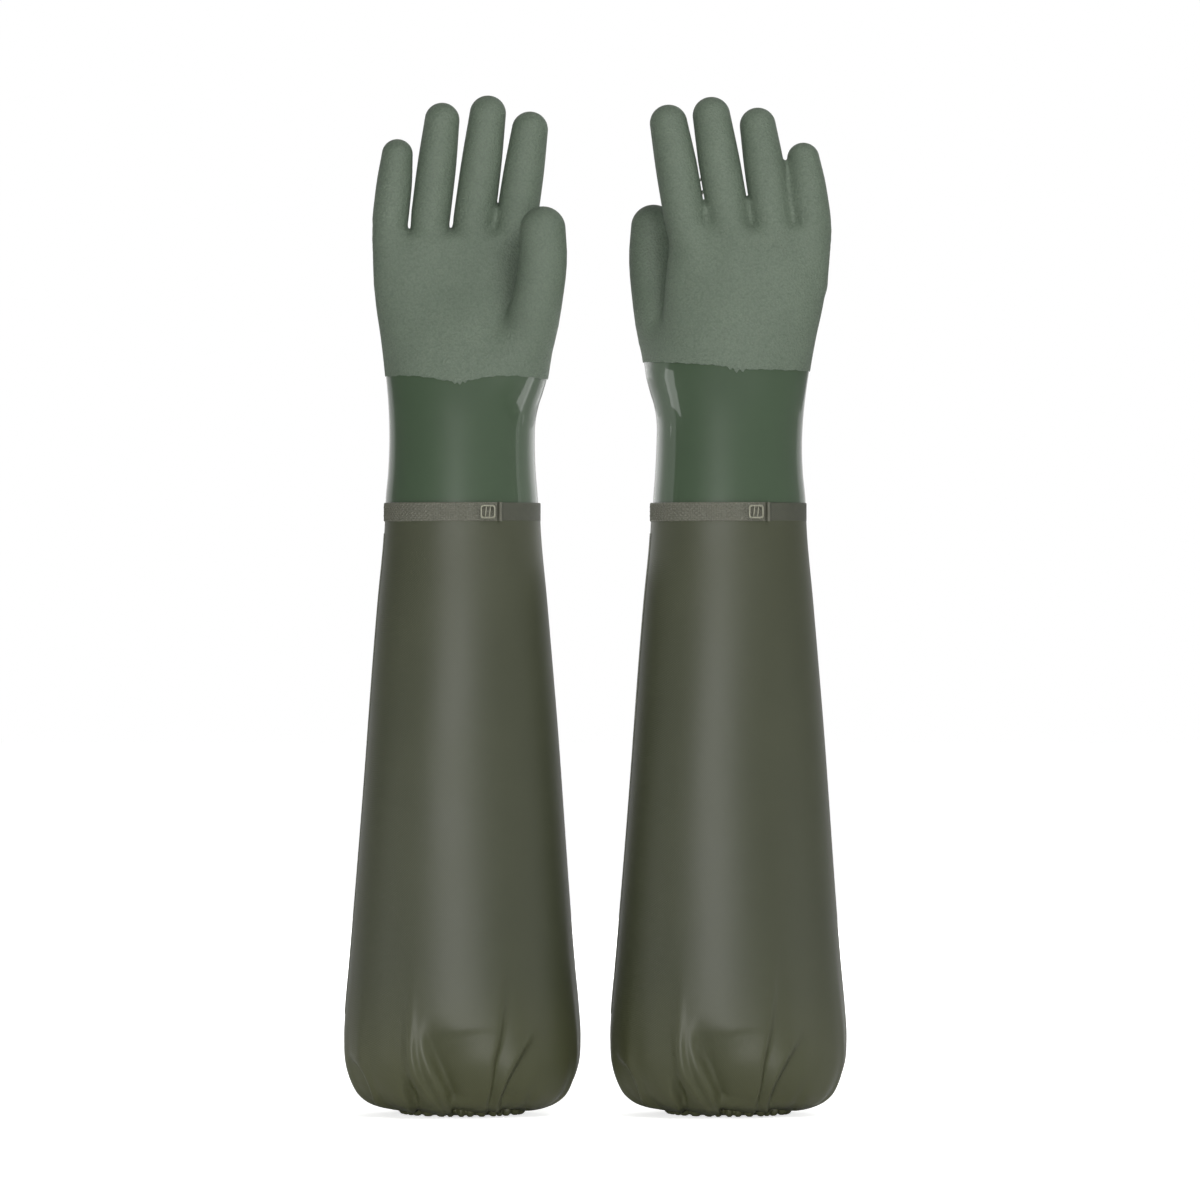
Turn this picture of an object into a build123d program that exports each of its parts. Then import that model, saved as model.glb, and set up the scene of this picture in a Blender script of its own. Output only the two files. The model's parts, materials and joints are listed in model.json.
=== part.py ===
"""A pair of long cold-handling gloves: dipped PVC hands with a coarse grip coat over a smooth gauntlet, a
thermal lining inside, and coated-fabric sleeves joined at a strapped weld and gathered on an elastic hem.

Frame: both gloves stand upright, fingers towards +Z and hems on Z = 0. X runs across the pair and Y through
it. Glove a has its palm towards -Y, and glove b is the same glove turned half round its own centre line.
A hand is drawn in its own glove's frame: +X towards the thumb, -Y towards the palm. The rigid solids are
divided where the real skin bends, at the wrist and at the root of each finger.
"""

import math
import os

from build123d import *

# Driving dimensions, millimetres and degrees
glove_pitch = 183.5  # between the two gloves' centre lines
sleeve_length = 404.0  # from the base to the gauntlet's lower edge
cuff_length = 58.0  # from there to the wrist's bending axis
palm_length = 146.0  # from the wrist's axis to the webs between the fingers
coat_edge_rise = 47.0  # lower edge of the grip coat above the wrist's axis
wrist_swing = 25.0  # wrist bends this far each way
finger_swing = 60.0  # a finger curls this far from rest
finger_back_swing = 8.0  # and bends back this far
thumb_swing = 35.0
hinge_rise = 16.0  # fingers bend this far above the webs
joint_gap = 0.4  # between two solids that swing past each other
wrist_clearance = 0.35  # between the wrist's ball and the cuff around it
ball_steps = 6  # level sections that shape the ball

coat_thickness = 0.8  # coarse grip coat
dip_thickness = 1.2  # smooth PVC
liner_thickness = 1.8  # thermal lining
ply_gap = 0.05  # between two layers
sleeve_thickness = 0.8

cuff_top = (51.0, 38.0)  # half width and half depth of the gauntlet at the wrist
cuff_bottom = (52.5, 39.2)
liner_rise = 18.0  # lower end of the lining above the gauntlet's lower edge
cuff_liner_drop = 15.0  # its upper end below the wrist axis, clear of the swinging hand

strap_rise = 4.5  # strap's lower edge above the gauntlet's
strap_height = 13.0
strap_thickness = 1.0
tongue_thickness = 0.8  # free end of the strap, lying over it
tongue_from, tongue_to = -62.0, 30.0  # angles from straight ahead, positive towards +X
buckle_angle = 24.0
buckle_width, buckle_height, buckle_depth, buckle_bar = 10.5, 9.0, 1.8, 1.6
buckle_tongue_bar = 0.8  # bar across the buckle's window
buckle_bevel = 0.4
keeper_angle = 36.0
keeper_width, keeper_depth, keeper_round = 2.2, 2.2, 0.7
weld_tape_height, weld_tape_thickness = 11.0, 0.5

sleeve_bulge = (82.0, 64.0)  # half width and half depth where the sleeve is fullest
sleeve_bulge_height = 62.0
sleeve_hem_height = 7.0  # height at which the sleeve turns in to the hem
sleeve_turn_steps = 5  # level sections in that turn, after its first
seam_tape_width, seam_tape_thickness = 12.0, 0.5
seam_tape_margin = 6.0  # from the strap and from the bulge

hem_half_width, hem_half_depth = 42.0, 34.0  # outside of the gathered hem
hem_height = 10.0
hem_depth = 6.0  # from outside to inside
hem_wall = 1.0
elastic_thickness = 1.6
elastic_clearance = 0.3  # above and below the elastic in the hem's channel

# Fingers: place of the root at the web line, lean towards the thumb, rise of the tip above the webs and
# radius at the root
fingers = {
    "little": {"root": -51.0, "lean": 6.5, "rise": 64.0, "radius": 12.0},
    "ring": {"root": -23.5, "lean": 7.0, "rise": 89.0, "radius": 13.4},
    "middle": {"root": 6.6, "lean": 7.6, "rise": 94.0, "radius": 13.8},
    "index": {"root": 36.0, "lean": 8.4, "rise": 83.0, "radius": 13.8},
}
finger_taper = 1.4  # radius lost from root to tip
stub_depth = 26.0  # how far a finger's root runs down into the palm
stub_overrun = 0.9  # share of a digit's radius that its root reaches past the hinge before its cut
wedge_reach, wedge_height = 3, 8  # the cut's half width and height, in radii of its digit

# Thumb: its hinge and tips are measured from the height of the webs, and its heel from the wrist's axis
thumb_radius = 16.5
thumb_hinge = (53.0, -28.0, -42.0)
thumb_rest_tip = (56.0, -31.5, 1.0)  # centre of the tip's ball at rest
thumb_curled_tip = (35.0, -43.0, -6.0)  # the way in which it curls
thumb_stub = 16.0
thumb_knuckle_swell = 0.4  # ball at the bend of the thumb's root, over the rods that meet in it
thumb_heel = (37.0, -7.0, 50.0)
thumb_heel_radius = 20.0

# Palm: share of the way from the wrist's axis to the webs, centre, half width, half depth
palm_sections = (
    (0.322, 2.4, 55.5, 33.0),
    (0.534, -2.0, 55.0, 29.0),
    (0.774, -5.0, 56.5, 22.5),
    (1.0, -6.5, 56.0, 15.0),
)

# Heights from the base
wrist_height = sleeve_length + cuff_length
web_height = wrist_height + palm_length
strap_bottom_height = sleeve_length + strap_rise

# How each glove sits: the turn about its centre line, the sideways lean of the hand at the web line, what
# that adds to each finger's lean, and how much fuller its fingers are
gloves = {
    "a": {"centre": -glove_pitch / 2, "turn": 0.0, "sway": 0.0, "extra_lean": 0.0, "swell": 0.0},
    "b": {"centre": glove_pitch / 2, "turn": 180.0, "sway": -8.0, "extra_lean": 1.6, "swell": 0.4},
}

# Each layer of the hand lies between two distances in from the outside
coat_layer = (0.0, coat_thickness)
dip_layer = (coat_thickness + ply_gap, coat_thickness + ply_gap + dip_thickness)
liner_layer = (dip_layer[1] + ply_gap, dip_layer[1] + ply_gap + liner_thickness)
layers = {"grip_coat": coat_layer, "smooth_dip": dip_layer, "thermal_liner": liner_layer}


def sway_at(glove, height):
    """Sideways shift of the hand at a height, which grows from the wrist to the webs."""
    share = (height - wrist_height) / palm_length
    return glove["sway"] * max(share, 0.0)


def elliptic_stack(sections, ruled=False):
    """Solid through level ellipses, each given as height, centre, half width and half depth."""
    with BuildPart() as stack:
        for height, centre, half_width, half_depth in sections:
            with BuildSketch(Plane.XY.offset(height)):
                with Locations((centre, 0)):
                    Ellipse(half_width, half_depth)
        loft(ruled=ruled)
    return stack.part


# Fingers and thumb: a frame at each hinge, with X along the hinge, Z up the finger and -Y towards the palm


def finger_frame(glove, name):
    """Frame at the root of a finger."""
    finger = fingers[name]
    lean = math.radians(finger["lean"] + glove["extra_lean"])
    hinge_x = finger["root"] + sway_at(glove, web_height) + hinge_rise * math.sin(lean)
    hinge_z = web_height + hinge_rise * math.cos(lean)
    return Plane(
        origin=(hinge_x, 0, hinge_z),
        x_dir=(math.cos(lean), 0, -math.sin(lean)),
        z_dir=(math.sin(lean), 0, math.cos(lean)),
    )


def in_hand(glove, point, base_height):
    """A point of the thumb, which sways half as far as the palm at its height."""
    height = base_height + point[2]
    return Vector(point[0] + sway_at(glove, height) / 2, point[1], height)


def thumb_frame(glove):
    """Frame at the thumb's hinge, whose axis is square to the way in which the tip travels."""
    rest_way = Vector(*thumb_rest_tip) - Vector(*thumb_hinge)
    curled_way = Vector(*thumb_curled_tip) - Vector(*thumb_hinge)
    hinge = in_hand(glove, thumb_hinge, web_height)
    return Plane(origin=hinge, x_dir=rest_way.cross(curled_way), z_dir=rest_way)


def finger_length(glove, name):
    """From the hinge to the end of the tip, along the finger."""
    frame = finger_frame(glove, name)
    return (web_height + fingers[name]["rise"] - frame.origin.Z) / frame.z_dir.Z


def thumb_length():
    """From the hinge to the end of the tip's ball."""
    return (Vector(*thumb_rest_tip) - Vector(*thumb_hinge)).length + thumb_radius


def digits(glove):
    """Name, frame, length, radius, taper and swing of each finger and the thumb."""
    found = [
        (
            name,
            finger_frame(glove, name),
            finger_length(glove, name),
            finger["radius"] + glove["swell"],
            finger_taper,
            finger_swing,
        )
        for name, finger in fingers.items()
    ]
    found.append(("thumb", thumb_frame(glove), thumb_length(), thumb_radius, 0.0, thumb_swing))
    return found


def digit_core(frame, length, radius, taper, inset):
    """Round-ended solid from a little below the hinge to the tip, without its cut."""
    tip_radius = radius - taper - inset
    tip_ball = length - inset - tip_radius
    below = radius
    side = Plane(origin=frame.origin, x_dir=frame.x_dir, z_dir=-frame.y_dir)
    with BuildPart() as core:
        with BuildSketch(side):
            with BuildLine():
                Polyline(
                    (0, length - inset), (0, -below), (radius - inset, -below), (tip_radius, tip_ball)
                )
                RadiusArc((tip_radius, tip_ball), (0, length - inset), -tip_radius)
            make_face()
        revolve(axis=Axis(frame.origin, frame.z_dir))
    return core.part


def swing_wedge(frame, radius, swing, above):
    """Room that a digit's stall (above the hinge) or its stub (below it) may fill, cut back by half the
    swing towards the palm and by half the back swing behind."""
    reach = wedge_reach * radius
    palm_rise = joint_gap / 2 + reach * math.tan(math.radians(swing / 2))
    back_rise = joint_gap / 2 + reach * math.tan(math.radians(finger_back_swing / 2))
    far = wedge_height * radius
    way = 1 if above else -1
    side = Plane(origin=frame.origin, x_dir=frame.y_dir, z_dir=frame.x_dir)
    with BuildPart() as wedge:
        with BuildSketch(side):
            Polygon(
                (0, way * joint_gap / 2),
                (-reach, way * palm_rise),
                (-reach, way * far),
                (reach, way * far),
                (reach, way * back_rise),
                align=None,
            )
        extrude(amount=reach, both=True)
    return wedge.part


def digit_stall(frame, length, radius, taper, swing, layer):
    """One layer of a finger or thumb above its hinge."""
    with BuildPart() as stall:
        add(digit_core(frame, length, radius, taper, layer[0]))
        add(swing_wedge(frame, radius, swing, above=True), mode=Mode.INTERSECT)
        add(digit_core(frame, length, radius, taper, layer[1]), mode=Mode.SUBTRACT)
    return stall.part


def rod(start, end, start_radius, end_radius):
    """Round solid between two points."""
    way = Vector(*end) - Vector(*start)
    base = Plane(origin=start, z_dir=way)
    with BuildPart() as body:
        with BuildSketch(base):
            Circle(start_radius)
        with BuildSketch(base.offset(way.length)):
            Circle(end_radius)
        loft()
    return body.part


def finger_stub(frame, radius, swing, inset, open_end):
    """Root of a finger below its hinge. The inside of a layer runs on past the cut."""
    over = radius * (1 if open_end else stub_overrun)
    with BuildPart() as stub:
        add(
            rod(
                frame.origin - frame.z_dir * stub_depth,
                frame.origin + frame.z_dir * over,
                radius - inset,
                radius - inset,
            )
        )
        if not open_end:
            add(swing_wedge(frame, radius, swing, above=False), mode=Mode.INTERSECT)
    return stub.part


def thumb_root(glove, frame, inset, open_end):
    """Thumb below its hinge: a short stub, a knuckle and the heel that joins it to the palm."""
    knuckle = frame.origin - frame.z_dir * thumb_stub
    heel = in_hand(glove, thumb_heel, wrist_height)
    over = frame.origin + frame.z_dir * stub_overrun * thumb_radius
    with BuildPart() as root:
        add(rod(knuckle, over, thumb_radius - inset, thumb_radius - inset))
        add(rod(heel, knuckle, thumb_heel_radius - inset, thumb_radius - inset))
        with Locations(knuckle):
            Sphere(thumb_radius + thumb_knuckle_swell - inset)
        with Locations(heel):
            Sphere(thumb_heel_radius + thumb_knuckle_swell - inset)
        if not open_end:
            add(swing_wedge(frame, thumb_radius, thumb_swing, above=False), mode=Mode.INTERSECT)
    return root.part


# Hand: wrist ball, palm, thumb root and finger roots in one solid


def ball_axes(inset):
    """Half width and half depth of the wrist's ball, which turns inside the top of the cuff."""
    play = dip_thickness + wrist_clearance - dip_layer[0]
    return cuff_top[0] - play - inset, cuff_top[1] - play - inset


def ball_section(inset, height):
    """Level section of the ball, an ellipsoid round the wrist's axis, at a height from that axis."""
    half_width, half_depth = ball_axes(inset)
    share = math.sqrt(1 - (height / half_depth) ** 2)
    return wrist_height + height, 0, half_width * share, half_depth * share


def wrist_ball(inset, low, high):
    """Part of the ball between two heights from the wrist's axis."""
    step = (high - low) / ball_steps
    return elliptic_stack([ball_section(inset, low + step * count) for count in range(ball_steps + 1)])


def palm_body(glove, inset):
    """Palm from the top of the wrist's ball to the webs."""
    sections = [ball_section(inset, wrist_lip())]
    for share, centre, section_width, section_depth in palm_sections:
        height = wrist_height + share * palm_length
        top = height - inset if share == 1 else height
        place = centre + sway_at(glove, height)
        sections.append((top, place, section_width - inset, section_depth - inset))
    return elliptic_stack(sections)


def wrist_lip():
    """Height of the ball's lip below the wrist's axis, and of the palm's start above it."""
    return ball_axes(dip_layer[0])[1] * math.sin(math.radians(wrist_swing))


def hand_core(glove, inset, open_end):
    """The whole hand at one distance in from its outside."""
    low = -2 * wrist_lip() if open_end else -wrist_lip()
    with BuildPart() as core:
        add(wrist_ball(inset, low, wrist_lip()))
        add(palm_body(glove, inset))
        add(thumb_root(glove, thumb_frame(glove), inset, open_end))
        for name, finger in fingers.items():
            radius = finger["radius"] + glove["swell"]
            add(finger_stub(finger_frame(glove, name), radius, finger_swing, inset, open_end))
    return core.part


def hand_layer(glove, layer):
    """One layer of the hand, open at the wrist and at each finger."""
    with BuildPart() as hand:
        add(hand_core(glove, layer[0], open_end=False))
        add(hand_core(glove, layer[1], open_end=True), mode=Mode.SUBTRACT)
        if layer == coat_layer:
            split(bisect_by=Plane.XY.offset(wrist_height + coat_edge_rise), keep=Keep.TOP)
    return hand.part


# Forearm: gauntlet cuff, strap, sleeve and hem


def cuff_half(height, inset):
    """Half width and half depth of the gauntlet at a height."""
    share = (height - sleeve_length) / cuff_length
    return tuple(low + (high - low) * share - inset for low, high in zip(cuff_bottom, cuff_top))


def cuff_ring(bottom, top, outer_inset, inner_inset):
    """Ring that follows the gauntlet between two heights."""
    with BuildPart() as ring:
        for inset, mode in ((outer_inset, Mode.ADD), (inner_inset, Mode.SUBTRACT)):
            sections = [(height, 0, *cuff_half(height, inset)) for height in (bottom, top)]
            add(elliptic_stack(sections, ruled=True), mode=mode)
    return ring.part


def sleeve_core(inset):
    """Sleeve: a straight flare to its fullest, then a quarter turn in to the hem."""
    top = strap_bottom_height + strap_height
    neck = [half + ply_gap + sleeve_thickness - inset for half in cuff_half(sleeve_length, 0)]
    fullest = [half - inset for half in sleeve_bulge]
    hem = (hem_half_width + ply_gap, hem_half_depth + ply_gap)
    drop = sleeve_bulge_height - sleeve_hem_height - inset
    flare = [(top, 0, *neck), (sleeve_length, 0, *neck), (sleeve_bulge_height, 0, *fullest)]
    turn = []
    for step in range(sleeve_turn_steps + 1):
        angle = math.radians(step * 90 / sleeve_turn_steps)
        halves = [edge + (full - edge) * math.cos(angle) for edge, full in zip(hem, fullest)]
        turn.append((sleeve_bulge_height - drop * math.sin(angle), 0, *halves))
    with BuildPart() as core:
        add(elliptic_stack(flare, ruled=True))
        add(elliptic_stack(turn))
    return core.part


def make_sleeve():
    """Sleeve as a thin shell, open at the neck and at the hem."""
    hole_height = sleeve_hem_height + 2 * sleeve_thickness
    with BuildPart() as sleeve:
        add(sleeve_core(0))
        add(sleeve_core(sleeve_thickness), mode=Mode.SUBTRACT)
        with BuildSketch(Plane.XY.offset(sleeve_hem_height - sleeve_thickness)):
            Ellipse(hem_half_width + ply_gap, hem_half_depth + ply_gap)
        extrude(amount=hole_height, mode=Mode.SUBTRACT)
    return sleeve.part


def make_seam_tape():
    """Tape welded over the sleeve's long seam, at its -X side."""
    low = sleeve_bulge_height + seam_tape_margin
    high = strap_bottom_height - seam_tape_margin
    with BuildPart() as tape:
        add(sleeve_core(-ply_gap - seam_tape_thickness))
        add(sleeve_core(-ply_gap), mode=Mode.SUBTRACT)
        with BuildSketch(Plane.XY.offset(low)):
            Rectangle(
                sleeve_bulge[0] + seam_tape_margin, seam_tape_width, align=(Align.MAX, Align.CENTER)
            )
        extrude(amount=high - low, mode=Mode.INTERSECT)
    return tape.part


def elliptic_band(half_width, half_depth, thickness, bottom, height, sector=None):
    """Upright band round an ellipse. sector gives its first and last angles from straight ahead (-Y)."""
    with BuildPart() as band:
        with BuildSketch(Plane.XY.offset(bottom)):
            Ellipse(half_width + thickness, half_depth + thickness)
            Ellipse(half_width, half_depth, mode=Mode.SUBTRACT)
            if sector:
                reach = 3 * half_width
                middle = sum(sector) / 2
                corners = [
                    (reach * math.sin(math.radians(angle)), -reach * math.cos(math.radians(angle)))
                    for angle in (sector[0], middle, sector[1])
                ]
                Polygon((0, 0), *corners, align=None, mode=Mode.INTERSECT)
        extrude(amount=height)
    return band.part


def strap_inside():
    """Half width and half depth of the strap's inner face."""
    outside = cuff_half(sleeve_length, 0)
    return [half + 2 * ply_gap + sleeve_thickness for half in outside]


def strap_plane(angle, proud):
    """Plane on the strap's front at an angle from straight ahead, facing out, at mid height."""
    half_width, half_depth = [half + proud for half in strap_inside()]
    turn = math.radians(angle)
    reach = 1 / math.hypot(math.sin(turn) / half_width, math.cos(turn) / half_depth)
    x, y = reach * math.sin(turn), -reach * math.cos(turn)
    outwards = Vector(x / half_width**2, y / half_depth**2, 0)
    middle = strap_bottom_height + strap_height / 2
    return Plane(origin=(x, y, middle), x_dir=(-outwards.Y, outwards.X, 0), z_dir=outwards)


def make_buckle():
    """Low rectangular frame with one bar across its window."""
    seat = strap_plane(buckle_angle, strap_thickness + tongue_thickness + 2 * ply_gap)
    with BuildPart() as buckle:
        with BuildSketch(seat):
            RectangleRounded(buckle_width, buckle_height, buckle_bar)
            Rectangle(buckle_width - 2 * buckle_bar, buckle_height - 2 * buckle_bar, mode=Mode.SUBTRACT)
            Rectangle(buckle_tongue_bar, buckle_height - buckle_bar)
        extrude(amount=buckle_depth)
        chamfer(buckle.faces().sort_by(SortBy.DISTANCE)[-1].outer_wire().edges(), buckle_bevel)
    return buckle.part


def make_keeper():
    """Narrow loop across the strap, beyond the end of its tongue."""
    seat = strap_plane(keeper_angle, strap_thickness + ply_gap)
    with BuildPart() as keeper:
        with BuildSketch(seat):
            Rectangle(keeper_width, strap_height)
        extrude(amount=keeper_depth)
        fillet(keeper.edges().filter_by(Axis.Z).sort_by(Axis.Y)[:2], keeper_round)
    return keeper.part


def make_hem():
    """Gathered hem: a closed channel round the arm opening."""
    half = (hem_half_width, hem_half_depth)
    with BuildPart() as hem:
        for inset, mode in ((0, Mode.ADD), (hem_depth, Mode.SUBTRACT)):
            with BuildSketch():
                Ellipse(half[0] - inset, half[1] - inset)
            extrude(amount=hem_height, mode=mode)
        fillet(hem.edges(), hem_wall)
        add(
            elliptic_band(
                half[0] - hem_depth + hem_wall,
                half[1] - hem_depth + hem_wall,
                hem_depth - 2 * hem_wall,
                hem_wall,
                hem_height - 2 * hem_wall,
            ),
            mode=Mode.SUBTRACT,
        )
    return hem.part


def make_elastic():
    """Flat elastic in the hem's channel."""
    inside = hem_depth / 2 + elastic_thickness / 2
    bottom = hem_wall + elastic_clearance
    return elliptic_band(
        hem_half_width - inside,
        hem_half_depth - inside,
        elastic_thickness,
        bottom,
        hem_height - 2 * bottom,
    )


def forearm_parts():
    """Everything from the wrist down, by node name."""
    strap_half = strap_inside()
    tongue_half = [half + strap_thickness + ply_gap for half in strap_half]
    return {
        "gauntlet_cuff": cuff_ring(sleeve_length, wrist_height, 0, dip_thickness),
        "cuff_thermal_liner": cuff_ring(
            sleeve_length + liner_rise,
            wrist_height - cuff_liner_drop,
            dip_thickness + ply_gap,
            dip_thickness + ply_gap + liner_thickness,
        ),
        "weld_tape": cuff_ring(
            sleeve_length,
            sleeve_length + weld_tape_height,
            dip_thickness + ply_gap,
            dip_thickness + ply_gap + weld_tape_thickness,
        ),
        "joint_strap": elliptic_band(*strap_half, strap_thickness, strap_bottom_height, strap_height),
        "strap_tongue": elliptic_band(
            *tongue_half,
            tongue_thickness,
            strap_bottom_height,
            strap_height,
            sector=(tongue_from, tongue_to),
        ),
        "strap_buckle": make_buckle(),
        "strap_keeper": make_keeper(),
        "sleeve": make_sleeve(),
        "sleeve_seam_tape": make_seam_tape(),
        "hem_casing": make_hem(),
        "hem_elastic": make_elastic(),
    }


def hand_parts(glove):
    """Each layer of the palm, the fingers and the thumb, by node name."""
    parts = {f"palm_{name}": hand_layer(glove, layer) for name, layer in layers.items()}
    for digit, frame, length, radius, taper, swing in digits(glove):
        for name, layer in layers.items():
            parts[f"{digit}_{name}"] = digit_stall(frame, length, radius, taper, swing, layer)
    return parts


def write_part(name, shape, place):
    """Put a finished piece in its place and write it."""
    piece = shape.moved(place)
    piece.label = name
    export_step(piece, f"parts/{name}.step")


def main():
    os.makedirs("parts", exist_ok=True)
    forearm = forearm_parts()
    for letter, glove in gloves.items():
        stand = Location((glove["centre"], 0, 0))
        turned = Location((glove["centre"], 0, 0), (0, 0, glove["turn"]))
        for name, shape in forearm.items():
            write_part(f"{letter}_{name}", shape, stand)
        for name, shape in hand_parts(glove).items():
            write_part(f"{letter}_{name}", shape, turned)


if __name__ == "__main__":
    main()
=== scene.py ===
import json
import math

import bmesh
import bpy
import numpy as np
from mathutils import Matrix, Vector


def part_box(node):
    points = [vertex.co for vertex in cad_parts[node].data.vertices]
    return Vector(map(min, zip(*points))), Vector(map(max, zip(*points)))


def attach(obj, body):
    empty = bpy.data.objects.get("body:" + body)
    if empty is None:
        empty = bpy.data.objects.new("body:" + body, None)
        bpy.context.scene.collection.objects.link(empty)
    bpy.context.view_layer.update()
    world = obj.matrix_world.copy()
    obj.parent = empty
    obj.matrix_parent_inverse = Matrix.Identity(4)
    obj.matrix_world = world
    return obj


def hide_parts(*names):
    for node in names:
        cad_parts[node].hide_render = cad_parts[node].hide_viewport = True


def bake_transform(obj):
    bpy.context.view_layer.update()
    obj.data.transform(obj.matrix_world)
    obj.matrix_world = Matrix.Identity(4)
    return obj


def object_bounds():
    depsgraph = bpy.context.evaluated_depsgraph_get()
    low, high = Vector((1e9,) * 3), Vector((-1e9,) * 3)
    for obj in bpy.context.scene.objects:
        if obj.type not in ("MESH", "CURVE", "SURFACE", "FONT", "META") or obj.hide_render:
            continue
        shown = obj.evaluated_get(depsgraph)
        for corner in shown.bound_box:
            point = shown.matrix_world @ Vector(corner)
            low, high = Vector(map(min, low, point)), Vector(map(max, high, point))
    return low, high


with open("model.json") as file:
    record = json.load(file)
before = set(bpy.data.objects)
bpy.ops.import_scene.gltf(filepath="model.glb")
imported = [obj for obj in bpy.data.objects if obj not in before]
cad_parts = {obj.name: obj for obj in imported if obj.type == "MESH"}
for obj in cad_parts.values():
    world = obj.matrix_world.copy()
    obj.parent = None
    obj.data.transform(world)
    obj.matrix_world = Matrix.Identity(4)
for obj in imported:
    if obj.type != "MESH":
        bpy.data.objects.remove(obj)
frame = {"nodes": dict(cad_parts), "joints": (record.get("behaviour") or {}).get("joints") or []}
cadLow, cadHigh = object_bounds()
scene = bpy.context.scene
mm = 0.001  # shapes are worked out in millimetres, and meshes are in metres
digitNames = ("little", "ring", "middle", "index", "thumb")


# Each glove has its own frame: X towards the thumb, -Y towards the palm, Z up. Glove b is turned half round


def jointOf(body):
    return next(joint for joint in frame["joints"] if joint["child"] == body)


def findGlove(letter, side, shape):
    low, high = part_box(f"{letter}_gauntlet_cuff")
    wrist = jointOf(f"{letter}_hand")["pos_m"][2] / mm
    turn = np.array([side, side, 1.0])
    return {"letter": letter, "turn": turn, "centre": (low.x + high.x) / 2 / mm, "wrist": wrist, **shape}


def toRow(glove, points):  # from the glove's own frame in millimetres to the row's in metres
    return (np.asarray(points, float) * glove["turn"] + [glove["centre"], 0, 0]) * mm


def toGlove(glove, points):
    return (np.asarray(points, float) / mm - [glove["centre"], 0, 0]) * glove["turn"]


gloveShapes = {
    "a": {
        "sway": 0.0,  # sideways lean of the hand
        "swell": 0.0,  # growth of the fingers
        "tipLift": {},  # a finger's top over its CAD solid
        "thumbLift": 0.0,
        "webLift": 0.0,
        "gapEnds": (146, 150, 166),  # how high over the wrist each gap between two fingers ends
        # places across the hand, and the lift of the coat's edge there over its own level
        "palmEdge": ((-54, 0.8), (-36, 0.9), (-22, -0.6), (-9, -2.8), (8, -2.0), (19, 0.0), (34, 0.6),
                     (56, -1.2)),
        "backEdge": ((-54, 0.8), (-30, 2.0), (-5, 1.0), (25, -1.0), (56, -1.2)),
        "drip": {"place": -1.5, "width": 5.5, "drop": 2.6, "palm": True},
    },
    "b": {
        "sway": -8.0,
        "swell": 0.5,
        "tipLift": {"index": 5.5, "ring": -2.4, "little": -1.6},
        "thumbLift": 5.0,
        "webLift": 3.0,
        "gapEnds": (200, 172, 168),
        "palmEdge": ((-56, 4.4), (-30, 3.0), (0, 5.0), (30, 8.5), (56, 11.0)),
        "backEdge": ((-56, 4.4), (-30, 4.9), (-9, 5.4), (3, 7.0), (30, 9.2), (56, 11.0)),
        "drip": {"place": -3.0, "width": 6.5, "drop": 3.2, "palm": False},
    },
}
gloves = [findGlove("a", 1, gloveShapes["a"]), findGlove("b", -1, gloveShapes["b"])]


# Curves and fields


def smoothCurve(at, knots, values):  # through the knots, with no corners
    knots, values = np.asarray(knots, float), np.asarray(values, float)
    slopes = np.gradient(values, knots, axis=0)
    at = np.clip(np.asarray(at, float), knots[0], knots[-1])
    i = np.clip(np.searchsorted(knots, at) - 1, 0, len(knots) - 2)
    gap = knots[i + 1] - knots[i]
    t = (at - knots[i]) / gap
    if values.ndim > 1:
        t, gap = t[..., None], gap[..., None]
    ends = (2 * t**3 - 3 * t**2 + 1) * values[i] + (3 * t**2 - 2 * t**3) * values[i + 1]
    return ends + ((t**3 - 2 * t**2 + t) * slopes[i] + (t**3 - t**2) * slopes[i + 1]) * gap


def wholeTurn(count):
    return np.linspace(0, 2 * math.pi, count, endpoint=False)


def ramp(at, low, high):
    t = np.clip((np.asarray(at, float) - low) / (high - low), 0, 1)
    return t * t * (3 - 2 * t)


def smoothMin(first, second, reach):  # union with a fillet
    share = np.maximum(reach - np.abs(first - second), 0) / reach
    return np.minimum(first, second) - share**2 * reach / 4


def smoothMax(first, second, reach):
    return -smoothMin(-first, -second, reach)


def gradientOf(field, points, step=0.05):
    here = field(points)
    slope = np.empty_like(points)
    for axis in range(3):
        moved = points.copy()
        moved[:, axis] += step
        slope[:, axis] = (field(moved) - here) / step
    return here, slope


def settleOn(field, points):  # moves points towards the surface where field is 0
    here, slope = gradientOf(field, points)
    return points - slope * (here / np.maximum((slope**2).sum(1), 0.2))[:, None]


def normalsOf(field, points):
    slope = gradientOf(field, points)[1]
    return slope / np.linalg.norm(slope, axis=1)[:, None]


# Hand: palm, wrist and gauntlet as one stack, with five digits joined to it

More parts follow.
